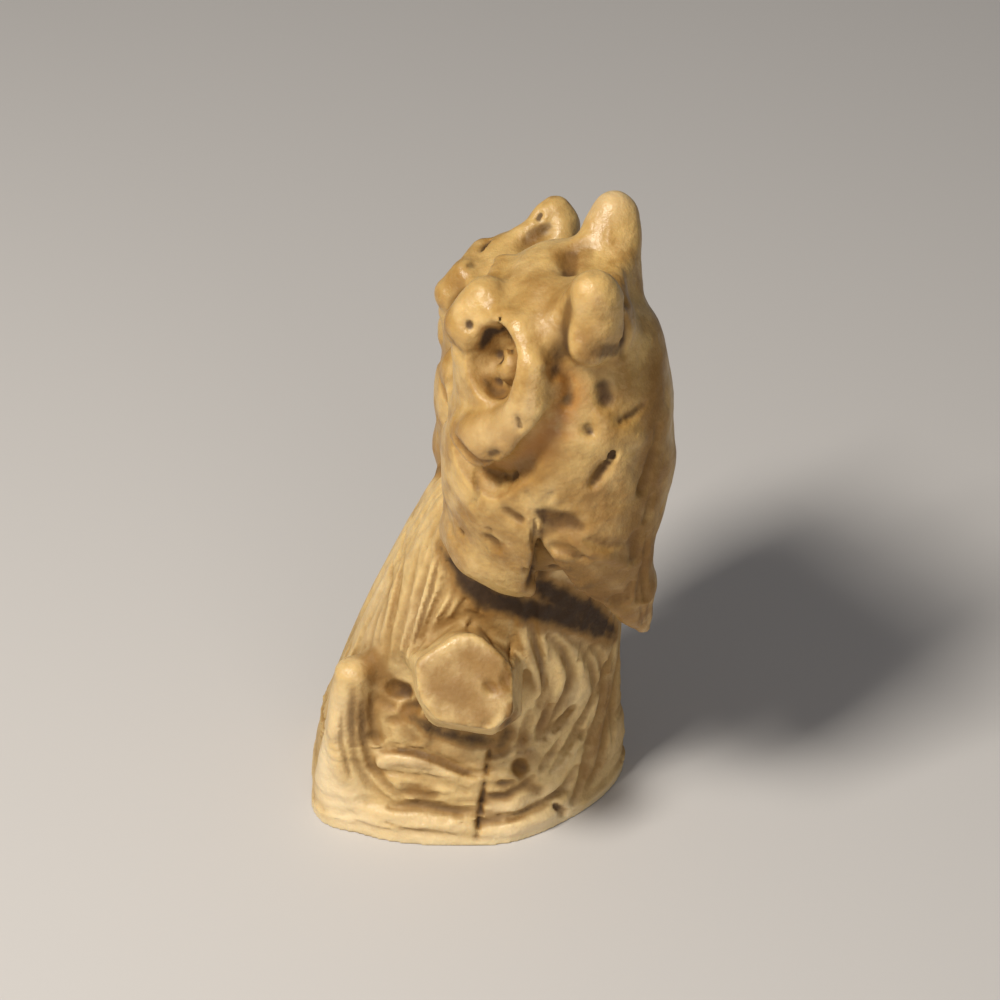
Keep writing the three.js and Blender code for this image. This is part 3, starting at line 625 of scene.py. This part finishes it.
STAIN_AND_PAINTED_SHADE = [
    # painted shade on the rump, tail, belly and fold, and stain on the crown
    ([(5, -5.8), (7.4, -7.4), (10, -9.4), (12, -10.8)], 2.2, 0.6),
    ([(5, -3.6), (8, -4.6), (11, -6.6), (13.4, -9.6)], 3, 0.42),
    ([(12.6, -1), (13.6, -5), (13.8, -10.5)], 2.4, 0.5),
    ([(14.6, 13), (14.6, 8), (14.2, 3), (13.6, -2)], 2.4, 0.5),
    ([(9, 2), (11.5, -2)], 2.6, 0.3),
    ([(0, -0.5), (2.4, -4.5)], 2, 0.28),
    ([(3.5, 2), (8, 0)], 2.2, 0.2),
    ([(13.1, -4.2), (13.3, -8.4)], 1.7, 0.45),
    ([(-2.8, -1.9), (-0.9, -4.2), (1.9, -6.1)], 2, 0.3),
    ([(4, -1.6), (6.6, -2.3)], 0.8, 0.35),
    ([(5.6, 23.2), (7.5, 22.2)], 1.4, 0.45),
    ([(1.9, 23.8), (4.2, 24.8)], 1.1, 0.35),
    ([(1, 21), (4.5, 20), (6.5, 17)], 2.6, 0.28),
    ([(8.4, 16), (8.2, 13.8)], 1.6, 0.3),
    # sawn face
    ([(-6.2, -16), (-4.5, -17.5), (-1.5, -19.4)], 2.3, 0.48),
    ([(-3.5, -14.6), (-1, -15.8), (0.4, -17.5)], 1.7, 0.52),
    # painted shade in the eye hollow under the brow and in the groove under the disc
    ([(-1.6, 14.2), (-1, 15.8), (0.2, 16)], 0.7, 1),
    ([(-1.4, 11.2), (-0.4, 10.2), (0.6, 10.3)], 0.6, 0.75),
    ([(-4.1, 5.5), (-2.9, 4), (-1, 2.8)], 0.5, 0.7),
    ([(-1, 2.8), (1.2, 2.4), (3, 3.8)], 0.8, 0.35),
]
AMBER = [
    ([(5, 12), (6.1, 11), (6.4, 9.4), (5.4, 7.4), (3.8, 5.6), (1.8, 3.9)], 1.3, 1),
    ([(1.8, 3.9), (-0.6, 2.9), (-2.4, 3.4)], 0.9, 0.6),
]
WORN_AND_PAINTED_LIGHT = [
    ([(-16.6, -22.6), (-16.4, -26.4), (-14.6, -29.4), (-12, -31)], 2.4, 1),
    ([(-1.8, -31.8), (1.9, -31.2), (4.8, -30), (7, -28.6)], 1.2, 0.9),
    ([(-12, -31), (-7.5, -31.4), (-2.8, -32)], 0.9, 0.6),
    ([(-11.4, -24.5), (-9.2, -24), (-6.7, -24.5), (-4.7, -25.4)], 0.8, 0.6),
    ([(-14.5, -28), (-10, -29.9), (-5.5, -30.3), (-2.8, -30.6)], 0.8, 0.6),
    # painted light on the lit front of the stump
    ([(-11, -8), (-12, -12), (-12.6, -14)], 1.8, 0.45),
    ([(-7, -9), (-8.6, -13)], 1.6, 0.35),
    ([(-1.9, -29.4), (2, -28.7), (5.6, -27)], 1, 0.45),
    ([(-14.9, -18.5), (-15.4, -22)], 1.4, 0.5),
    ([(7.2, -17.4), (6.6, -19.6)], 0.9, 0.3),
    # painted highlight on the tip of the tall horn
    ([(8.8, 28.2), (10.8, 28.8)], 1.8, 0.45),
    # painted light on the jowl of the larger owl
    ([(-3.8, 5.2), (0, 6.5), (2.8, 9)], 1.4, 0.2),
]


def stroke_strength(p, strokes, ragged):
    """How strongly broad strokes cover each point, with ragged edges."""
    total = np.zeros(len(p), np.float32)
    for pieces, half_width, strength in strokes:
        reach = STAIN_REACH * half_width
        close, away = near_stroke(p, pieces, reach)
        cover = strength * ease(0, 1, 1 - away / reach * (1 + 0.2 * ragged[close]))
        total[close] = np.maximum(total[close], cover)
    return total


# The seam of the two-part mould, up the side with the branch
SEAM_FOOT = 0.75
SEAM_LEAN = 0.141
SEAM_TOP = 45.5


def seam_relief(p):
    x, y, z = p[..., 0], p[..., 1], p[..., 2]
    away = y - (SEAM_FOOT + SEAM_LEAN * z)
    faint = 0.7 * ease(9, 12, z) * (1 - ease(33, 36, z))
    shown = (x > 2) * (1 - ease(SEAM_TOP - 2, SEAM_TOP, z)) * (1 - faint)
    line = np.clip(1 - np.abs(away) / 0.4, 0, 1)
    step = ease(-0.15, 0.15, away) * (1 - ease(1, 4, away))
    return (0.35 * line + 0.25 * step) * shown


CARVED_WITHIN = 1.6
FOOT_KEPT = 1.2


def carved_form(p, marks):
    owls, wood = owls_and_wood(p)
    d = join(owls, wood, FILLET)
    close = np.abs(d) < CARVED_WITHIN
    q = p[close]
    is_wood = ease(-0.4, 0.4, owls[close] - wood[close])
    relief = wood_relief(q) * is_wood + owl_relief(q) * (1 - is_wood)
    relief += mark_relief(q, marks) + seam_relief(q)
    d[close] += relief * ease(0, FOOT_KEPT, q[..., 2])
    return np.maximum(d, -p[..., 2])


# Values of the carved form on a grid, worked out only in the blocks its surface can pass through
BLOCK = 4
NEAR_BLOCK = 2.2


def sampled(marks, low, high):
    blocks = np.ceil((high - low) / (STEP * BLOCK)).astype(int)
    index = np.stack(np.meshgrid(*[np.arange(n) for n in blocks], indexing="ij"), -1)
    rough = plain_form(low + (index * BLOCK + (BLOCK - 1) / 2) * STEP)
    rough = np.maximum(rough, -(low[2] + (index[..., 2] * BLOCK + (BLOCK - 1) / 2) * STEP))
    near = np.argwhere(np.abs(rough) < NEAR_BLOCK)
    inner = np.stack(np.meshgrid(*[np.arange(BLOCK)] * 3, indexing="ij"), -1)
    points = (low + (near[:, None, None, None] * BLOCK + inner) * STEP).astype(np.float32)
    values = np.broadcast_to(rough[..., None, None, None], (*blocks, BLOCK, BLOCK, BLOCK)).copy()
    for part in np.array_split(np.arange(len(near)), 12):
        flat = points[part].reshape(-1, 3)
        values[tuple(near[part].T)] = carved_form(flat, marks).reshape(-1, BLOCK, BLOCK, BLOCK)
    return values.transpose(0, 3, 1, 4, 2, 5).reshape(blocks * BLOCK)


# One vertex in every cell that the surface passes through, and one four-sided face across every
# edge of the grid that it cuts
def skin(values, low):
    size = np.array(values.shape)
    inside = values < 0
    corners = list(itertools.product((0, 1), repeat=3))
    count = sum(
        inside[tuple(slice(o, n - 1 + o) for o, n in zip(corner, size))].astype(np.int8)
        for corner in corners
    )
    active = (count > 0) & (count < 8)
    number = np.full(size - 1, -1, np.int64)
    cells = np.argwhere(active)
    number[active] = np.arange(len(cells))
    total = np.zeros((len(cells), 3))
    hits = np.zeros(len(cells))
    for corner, axis in itertools.product(corners, range(3)):
        if corner[axis]:
            continue
        other = np.array(corner)
        other[axis] = 1
        a = values[tuple((cells + corner).T)]
        b = values[tuple((cells + other).T)]
        crossed = (a < 0) != (b < 0)
        at = np.tile(np.array(corner, float), (len(cells), 1))
        at[:, axis] = np.where(crossed, a / np.where(crossed, a - b, 1), 0)
        total += at * crossed[:, None]
        hits += crossed
    vertices = low + (cells + total / hits[:, None]) * STEP
    faces = []
    for axis in range(3):
        first = [slice(1, n - 1) for n in size]
        first[axis] = slice(0, size[axis] - 1)
        second = list(first)
        second[axis] = slice(1, size[axis])
        here = inside[tuple(first)]
        changed = np.argwhere(here != inside[tuple(second)])
        outward = here[tuple(changed.T)]
        start = changed + 1
        start[:, axis] -= 1
        u, v = np.roll(np.eye(3, dtype=int), -axis - 1, 0)[:2]
        around = [start - i * u - j * v for i, j in ((1, 1), (0, 1), (0, 0), (1, 0))]
        face = np.stack([number[tuple(cell.T)] for cell in around], 1)
        face[~outward] = face[~outward][:, ::-1]
        faces.append(face)
    return vertices, np.concatenate(faces)


MARGIN = 1.3


def figurine_mesh(cad_low, cad_high, marks):
    low = np.array(cad_low) / MILLIMETRE - MARGIN
    high = np.array(cad_high) / MILLIMETRE + MARGIN
    vertices, faces = skin(sampled(marks, low, high), low)
    vertices = np.clip(vertices * MILLIMETRE, cad_low, cad_high)
    mesh = bpy.data.meshes.new("owl_pair")
    mesh.from_pydata(vertices.tolist(), [], faces.tolist())
    piece = bpy.data.objects.new("owl_pair", mesh)
    bpy.context.scene.collection.objects.link(piece)
    thinned = piece.modifiers.new("thinned", "DECIMATE")
    thinned.ratio = min(1, MOST_TRIANGLES / (2 * len(faces)))
    evaluated = piece.evaluated_get(bpy.context.evaluated_depsgraph_get())
    piece.data = bpy.data.meshes.new_from_object(evaluated)
    piece.modifiers.clear()
    piece.data.name = "owl_pair"
    piece.data.shade_smooth()
    return piece


# How the stain lies, and where shade and light are painted: stain and painted shade in recesses, stain in
# the grain and in pits. The recesses are found by how much room there is in front of the surface, at three
# distances with their shares.
ROOM = ((0.7, 0.25), (1.8, 0.35), (4.0, 0.4))
LOWEST_PERCH = 12


def add_stain_wear_and_painted_light(mesh, marks):
    count = len(mesh.vertices)
    places = np.empty(count * 3, np.float32)
    mesh.vertices.foreach_get("co", places)
    places = places.reshape(-1, 3) / MILLIMETRE
    normals = np.empty(count * 3, np.float32)
    mesh.vertex_normals.foreach_get("vector", normals)
    normals = normals.reshape(-1, 3)
    owls, wood = owls_and_wood(places)
    depth = np.clip(-join(owls, wood, FILLET), 0, 1)
    closed = np.zeros(count, np.float32)
    for reach, share in ROOM:
        room = plain_form(places + normals * reach) / reach
        closed += share * (1 - np.clip(room, 0, 1))
    z = places[:, 2]
    is_wood = ease(-0.4, 0.4, owls - wood)
    ragged = noise(places / 1.7, 41) + 0.5 * noise(places / 0.6, 42)
    # Painted shadow on the wood just under the owls, fading away from them
    under = 0.7 * (1 - ease(0.3, 2.6, owls + 0.5 * ragged)) * (z > LOWEST_PERCH)
    shade = is_wood * np.maximum(stroke_strength(places, traced(SHADE), ragged), under)
    foot_edge = 0.7 * (1 - ease(0.4, 1.6, z + 0.5 * ragged))
    layers = {
        "recess": closed,
        "depth": np.maximum(depth, mark_ink(places, marks) * (1 - 0.4 * is_wood)),
        "wood": is_wood,
        # Painted shade, with stain on the crown and the sawn face in the same layer
        "shade": np.maximum(shade, stroke_strength(places, traced(STAIN_AND_PAINTED_SHADE), ragged)),
        "amber": stroke_strength(places, traced(AMBER), ragged),
        "worn_and_painted_light": np.maximum(stroke_strength(places, traced(WORN_AND_PAINTED_LIGHT), ragged), foot_edge),
    }
    for name, values in layers.items():
        layer = mesh.attributes.new(name, "FLOAT", "POINT")
        layer.data.foreach_set("value", np.float32(values))


# Resin
HONEY = (0.56, 0.365, 0.13)
TAN = (0.37, 0.205, 0.05)
STRAW = (0.68, 0.47, 0.21)
PALE_WOOD = (0.74, 0.54, 0.25)
BLOTCH = (0.31, 0.16, 0.035)
CLOUD = (0.33, 0.175, 0.05)
RUBBED_AND_PAINTED_LIGHT = (0.80, 0.63, 0.38)
RECESS_STAIN_AND_SHADE = (0.24, 0.12, 0.022)
GRAIN_STAIN = (0.30, 0.15, 0.03)
AMBER_STAIN = (0.36, 0.15, 0.02)
PIT_STAIN = (0.06, 0.024, 0.003)
SHADE_BROWN = (0.24, 0.115, 0.02)
SHADE_BLACK = (0.03, 0.012, 0.002)


def resin_material():
    material = bpy.data.materials.new("resin")
    material.use_nodes = True
    nodes, links = material.node_tree.nodes, material.node_tree.links
    shader = nodes["Principled BSDF"]
    place = nodes.new("ShaderNodeTexCoord").outputs["Object"]

    def layer(name):
        node = nodes.new("ShaderNodeAttribute")
        node.attribute_name = name
        return node.outputs["Fac"]

    def speckle(scale, detail, low=0.35, high=0.65):
        node = nodes.new("ShaderNodeTexNoise")
        node.inputs["Scale"].default_value = scale
        node.inputs["Detail"].default_value = detail
        links.new(place, node.inputs["Vector"])
        return ranged(node.outputs["Fac"], low, high)

    def ranged(value, low, high, to_low=0.0, to_high=1.0):
        node = nodes.new("ShaderNodeMapRange")
        node.interpolation_type = "SMOOTHSTEP"
        links.new(value, node.inputs["Value"])
        for name, number in (("From Min", low), ("From Max", high), ("To Min", to_low), ("To Max", to_high)):
            node.inputs[name].default_value = number
        return node.outputs["Result"]

    def maths(kind, a, b):
        node = nodes.new("ShaderNodeMath")
        node.operation = kind
        for socket, value in zip(node.inputs, (a, b)):
            if isinstance(value, (int, float)):
                socket.default_value = value
            else:
                links.new(value, socket)
        return node.outputs["Value"]

    def tinted(under, colour, amount):
        node = nodes.new("ShaderNodeMix")
        node.data_type = "RGBA"
        links.new(amount, node.inputs["Factor"])
        if isinstance(under, tuple):
            node.inputs["A"].default_value = (*under, 1)
        else:
            links.new(under, node.inputs["A"])
        node.inputs["B"].default_value = (*colour, 1)
        return node.outputs["Result"]

    recess, depth, wood, shade = layer("recess"), layer("depth"), layer("wood"), layer("shade")
    colour = tinted(HONEY, TAN, speckle(170, 5, 0.4, 0.66))
    colour = tinted(colour, STRAW, maths("MULTIPLY", speckle(420, 4, 0.5, 0.75), 0.5))
    colour = tinted(colour, PALE_WOOD, maths("MULTIPLY", wood, 0.65))
    less_on_wood = maths("SUBTRACT", 0.6, maths("MULTIPLY", wood, 0.4))
    blotch = maths("MULTIPLY", speckle(340, 6, 0.5, 0.68), less_on_wood)
    colour = tinted(colour, BLOTCH, blotch)
    cloudy = maths("MULTIPLY", speckle(900, 6, 0.4, 0.7), 0.25)
    colour = tinted(colour, CLOUD, cloudy)
    # Stain worn off the foot, and painted light on the lit front of the stump, the jowl and the horn tip
    colour = tinted(colour, RUBBED_AND_PAINTED_LIGHT, maths("MULTIPLY", layer("worn_and_painted_light"), 0.9))
    # Stain and painted shade in recesses, darker the more closed in the surface is
    stain_and_shade_in_recesses = maths("ADD", recess, maths("MULTIPLY", speckle(300, 6), 0.1))
    colour = tinted(colour, RECESS_STAIN_AND_SHADE, ranged(stain_and_shade_in_recesses, 0.18, 0.8, 0, 0.85))
    grained = maths("MULTIPLY", wood, ranged(depth, 0.06, 0.4, 0, 0.7))
    colour = tinted(colour, GRAIN_STAIN, grained)
    amber = maths("MULTIPLY", layer("amber"), speckle(500, 5, 0.15, 0.5))
    colour = tinted(colour, AMBER_STAIN, amber)
    colour = tinted(colour, PIT_STAIN, ranged(depth, 0.18, 0.55, 0, 0.95))
    # Painted shade, near black under the owls, under the branch and in the eye hollow, with the crown and
    # sawn-face stain in the same layer
    painted_shade_and_stain = maths("ADD", shade, maths("MULTIPLY", speckle(600, 5), 0.12))
    colour = tinted(colour, SHADE_BROWN, ranged(painted_shade_and_stain, 0.1, 0.55, 0, 0.85))
    colour = tinted(colour, SHADE_BLACK, ranged(painted_shade_and_stain, 0.5, 1.0, 0, 0.96))
    links.new(colour, shader.inputs["Base Color"])
    sunk = maths("MAXIMUM", maths("MAXIMUM", recess, shade), depth)
    dull = maths("ADD", ranged(sunk, 0.1, 0.7, 0.34, 0.75), maths("MULTIPLY", speckle(700, 4), 0.12))
    links.new(dull, shader.inputs["Roughness"])
    shader.inputs["IOR"].default_value = 1.5
    shader.inputs["Subsurface Weight"].default_value = 0.2
    shader.inputs["Subsurface Radius"].default_value = (1.0, 0.6, 0.3)
    shader.inputs["Subsurface Scale"].default_value = 0.0015
    bump = nodes.new("ShaderNodeBump")
    bump.inputs["Strength"].default_value = 0.25
    bump.inputs["Distance"].default_value = 0.0002
    links.new(maths("ADD", speckle(1500, 6, 0.3, 0.7), speckle(600, 4, 0.3, 0.7)), bump.inputs["Height"])
    links.new(bump.outputs["Normal"], shader.inputs["Normal"])
    return material


# Plain pale ground
GROUND_REACH = 3.0


def ground():
    mesh = bpy.data.meshes.new("ground")
    reach = GROUND_REACH
    corners = [(-reach, -reach, 0), (reach, -reach, 0), (reach, reach, 0), (-reach, reach, 0)]
    mesh.from_pydata(corners, [], [(0, 1, 2, 3)])
    floor = bpy.data.objects.new("ground", mesh)
    bpy.context.scene.collection.objects.link(floor)
    material = bpy.data.materials.new("ground")
    material.use_nodes = True
    shader = material.node_tree.nodes["Principled BSDF"]
    shader.inputs["Base Color"].default_value = (0.56, 0.54, 0.53, 1)
    shader.inputs["Roughness"].default_value = 0.85
    mesh.materials.append(material)


def aimed(thing, at, target):
    thing.location = at
    thing.rotation_mode = "QUATERNION"
    thing.rotation_quaternion = (Vector(target) - Vector(at)).to_track_quat("-Z", "Y")


TARGET = Vector(VIEW_MIDDLE * MILLIMETRE)
KEY = {"at": (0.16, -0.19, 0.36), "side": 0.09, "power": 2.0, "colour": (1, 0.95, 0.86)}
FILL = {"at": (0.36, 0.08, 0.12), "side": 0.2, "power": 0.34, "colour": (1, 0.97, 0.92)}


def softbox(name, at, side, power, colour):
    light = bpy.data.lights.new(name, "AREA")
    light.size = side
    light.energy = power
    light.color = colour
    lamp = bpy.data.objects.new(name, light)
    aimed(lamp, at, TARGET)
    bpy.context.scene.collection.objects.link(lamp)


def studio():
    world = bpy.data.worlds.new("room")
    world.use_nodes = True
    back = world.node_tree.nodes["Background"]
    back.inputs["Color"].default_value = (0.80, 0.80, 0.82, 1)
    back.inputs["Strength"].default_value = 0.17
    bpy.context.scene.world = world
    softbox("key", **KEY)
    softbox("fill", **FILL)
    bpy.context.scene.view_settings.view_transform = "Standard"


def photo_camera():
    data = bpy.data.cameras.new("camera")
    data.sensor_width = 36
    data.lens = data.sensor_width * DISTANCE / FIELD_WIDTH
    data.clip_start = 0.01
    camera = bpy.data.objects.new("camera", data)
    aimed(camera, Vector(EYE_POINT * MILLIMETRE), TARGET)
    bpy.context.scene.collection.objects.link(camera)
    bpy.context.scene.camera = camera


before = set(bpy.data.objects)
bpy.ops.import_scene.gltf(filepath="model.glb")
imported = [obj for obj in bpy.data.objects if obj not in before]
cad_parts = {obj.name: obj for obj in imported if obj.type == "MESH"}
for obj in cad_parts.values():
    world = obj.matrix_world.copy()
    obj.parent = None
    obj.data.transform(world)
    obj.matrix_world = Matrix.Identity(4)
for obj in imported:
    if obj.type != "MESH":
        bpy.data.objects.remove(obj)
cad_low, cad_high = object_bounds()

marks = traced(MARKS)
figurine = figurine_mesh(cad_low, cad_high, marks)
add_stain_wear_and_painted_light(figurine.data, marks)
figurine.data.materials.append(resin_material())
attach(figurine, "root")
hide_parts("owl_pair_figurine")
ground()
studio()
photo_camera()
